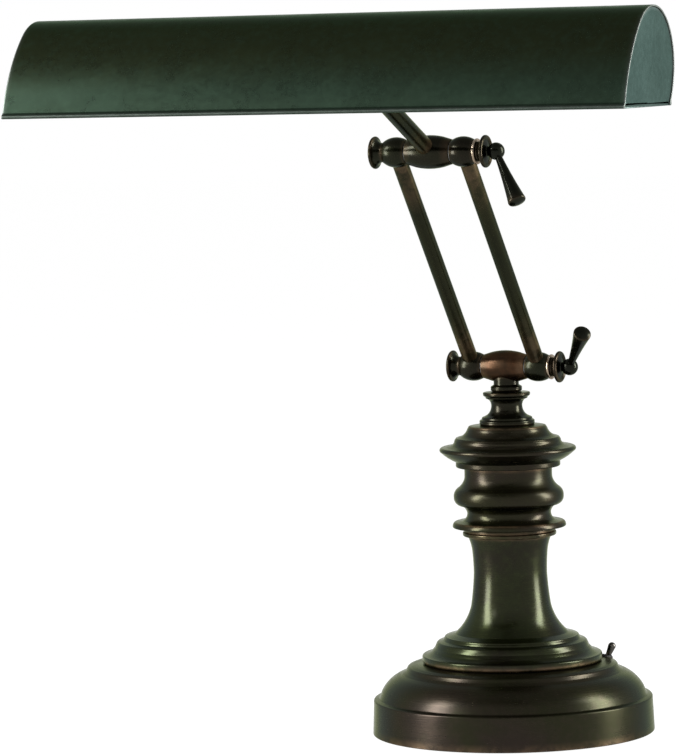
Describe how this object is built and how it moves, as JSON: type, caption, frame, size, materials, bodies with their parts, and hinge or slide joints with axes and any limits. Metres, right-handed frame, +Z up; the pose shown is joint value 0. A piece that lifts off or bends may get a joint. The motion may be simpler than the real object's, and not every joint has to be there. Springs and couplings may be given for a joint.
{
  "type": "piano lamp",
  "caption": "Piano lamp with a weighted round base, turned standard, paired arms on two clamp-lever joints and a long trough shade over tube bulbs.",
  "frame": {"origin": "centre of the felt's underside, on the table", "axes": "+Z up along the standard, X along the shade and both pivots with the clamp levers on +X, -Y the front that the shade reaches over"},
  "size_m": [0.3556, 0.3568, 0.4182],
  "materials": {
    "bronze": "dark bronze-black satin with a brown cast",
    "felt": "dark green felt",
    "iron": "raw casting",
    "steel": "zinc plated",
    "bright": "polished",
    "brass": "plain",
    "black_plastic": "moulded",
    "socket_plastic": "moulded phenolic",
    "bulb_metal": "drawn sheet",
    "bulb_glass": "frosted"
  },
  "bodies": {
    "base": {"base_felt": "felt", "base_weight": "iron", "base_shell": "bronze", "cord_bushing": "black_plastic", "pipe_nut": "steel", "pipe_washer": "steel", "threaded_pipe": "steel", "switch_body": "black_plastic", "switch_nut": "bright", "switch_terminals": "brass", "column": "bronze", "column_ring": "bronze", "knop": "bronze", "vase_cap": "bronze", "pipe_coupling": "steel", "neck_spool": "bronze"},
    "toggle": {"toggle_lever": "bright"},
    "neck": {"swivel_post": "bronze", "swivel_nut": "steel", "swivel_washer": "steel", "lower_barrel": "bronze", "lower_washers": "steel"},
    "arms": {"lower_knuckle_left": "bronze", "lower_knuckle_right": "bronze", "upper_knuckle_left": "bronze", "upper_knuckle_right": "bronze", "arm_tube_left": "bronze", "arm_tube_right": "bronze", "lower_bolt": "steel", "lower_end_knob": "bronze", "upper_bolt": "steel", "upper_end_knob": "bronze", "lower_collar": "bright", "upper_collar": "bright"},
    "lower_lever": {"lower_lever_hub": "bronze", "lower_lever_handle": "bronze"},
    "upper_lever": {"upper_lever_hub": "bronze", "upper_lever_handle": "bronze"},
    "shade": {"upper_barrel": "bronze", "upper_washers": "steel", "shade_arm": "bronze", "outer_saddle": "bronze", "inner_saddle": "bronze", "arm_locknut": "steel", "shade_shell": "bronze", "end_cap_left": "bronze", "end_cap_right": "bronze", "socket_hub": "steel", "socket_left": "socket_plastic", "socket_right": "socket_plastic", "screw_shell_left": "brass", "screw_shell_right": "brass", "centre_contact_left": "brass", "centre_contact_right": "brass", "bulb_glass_left": "bulb_glass", "bulb_glass_right": "bulb_glass", "bulb_cap_left": "bulb_metal", "bulb_cap_right": "bulb_metal", "socket_screws": "steel"}
  },
  "joints": [
    {"name": "neck_swivel", "type": "hinge", "parent": "base", "child": "neck", "pos_m": [0, 0, 0.1949], "axis": [0, 0, 1], "range_deg": [-165, 165]},
    {"name": "arm_pivot", "type": "hinge", "parent": "neck", "child": "arms", "pos_m": [0, 0, 0.213], "axis": [1, 0, 0], "range_deg": [-60, 45]},
    {"name": "shade_pivot", "type": "hinge", "parent": "arms", "child": "shade", "pos_m": [0, -0.10521, 0.34063], "axis": [1, 0, 0], "range_deg": [-70, 60]},
    {"name": "lower_lever_turn", "type": "hinge", "parent": "arms", "child": "lower_lever", "pos_m": [0.0295, 0, 0.213], "axis": [1, 0, 0], "range_deg": [-10, 180]},
    {"name": "upper_lever_turn", "type": "hinge", "parent": "arms", "child": "upper_lever", "pos_m": [0.0295, -0.10521, 0.34063], "axis": [1, 0, 0], "range_deg": [-10, 180]},
    {"name": "switch_toggle", "type": "hinge", "parent": "base", "child": "toggle", "pos_m": [0.04537, 0.03297, 0.03774], "axis": [0.5878, -0.809, 0], "range_deg": [0, 28]}
  ]
}
